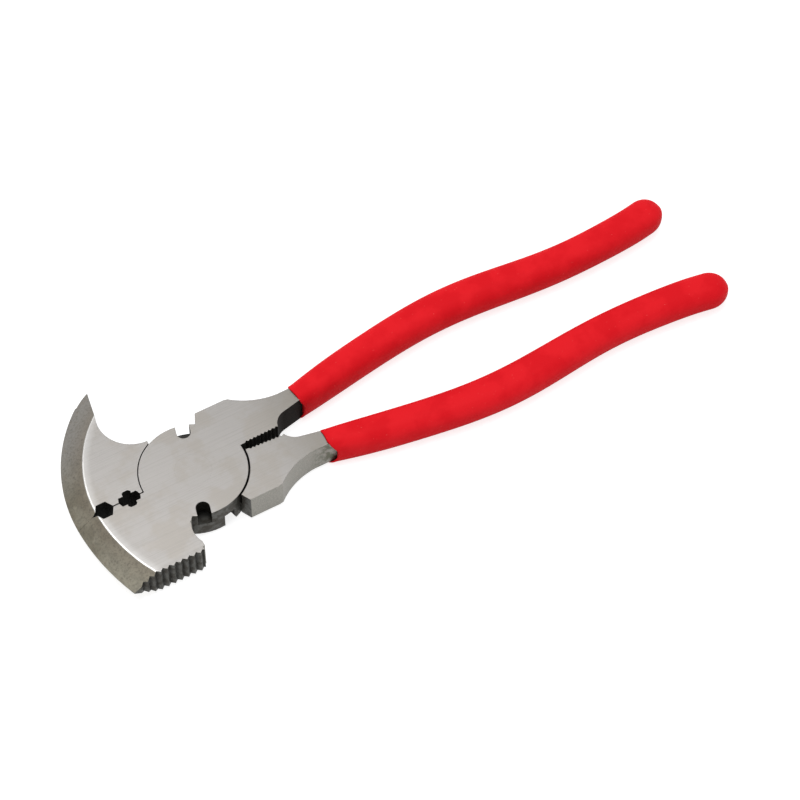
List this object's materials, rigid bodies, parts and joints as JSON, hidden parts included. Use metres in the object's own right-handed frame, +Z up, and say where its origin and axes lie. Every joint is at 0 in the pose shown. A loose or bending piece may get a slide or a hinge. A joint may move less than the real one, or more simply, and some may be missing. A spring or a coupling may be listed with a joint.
{
  "type": "fencing pliers",
  "caption": "Forged fencing pliers with a hooked blade, grooved hammer face, splicing holes, rim wire cutters, pipe jaws and dipped vinyl grips.",
  "frame": {"origin": "on the pivot axis, in the ground underside of the head", "axes": "+X from the blade towards the handles, +Y towards the hook's tip, +Z up through the thickness, along the pivot; jaws closed at rest"},
  "size_m": [0.2631, 0.0854, 0.0142],
  "materials": {
    "ground_steel": "drop-forged steel, both cheeks and bevels ground, sides as forged",
    "rivet_steel": "steel rivet ground flush with the cheeks",
    "red_vinyl": "semi-gloss red dipped vinyl"
  },
  "bodies": {
    "claw_half": {"claw_lever": "ground_steel", "claw_grip": "red_vinyl", "pivot_rivet": "rivet_steel"},
    "hammer_half": {"hammer_lever": "ground_steel", "hammer_grip": "red_vinyl"}
  },
  "joints": [
    {"name": "pivot", "type": "hinge", "parent": "claw_half", "child": "hammer_half", "pos_m": [0, 0, 0.006], "axis": [0, 0, 1], "range_deg": [0, 45]}
  ]
}
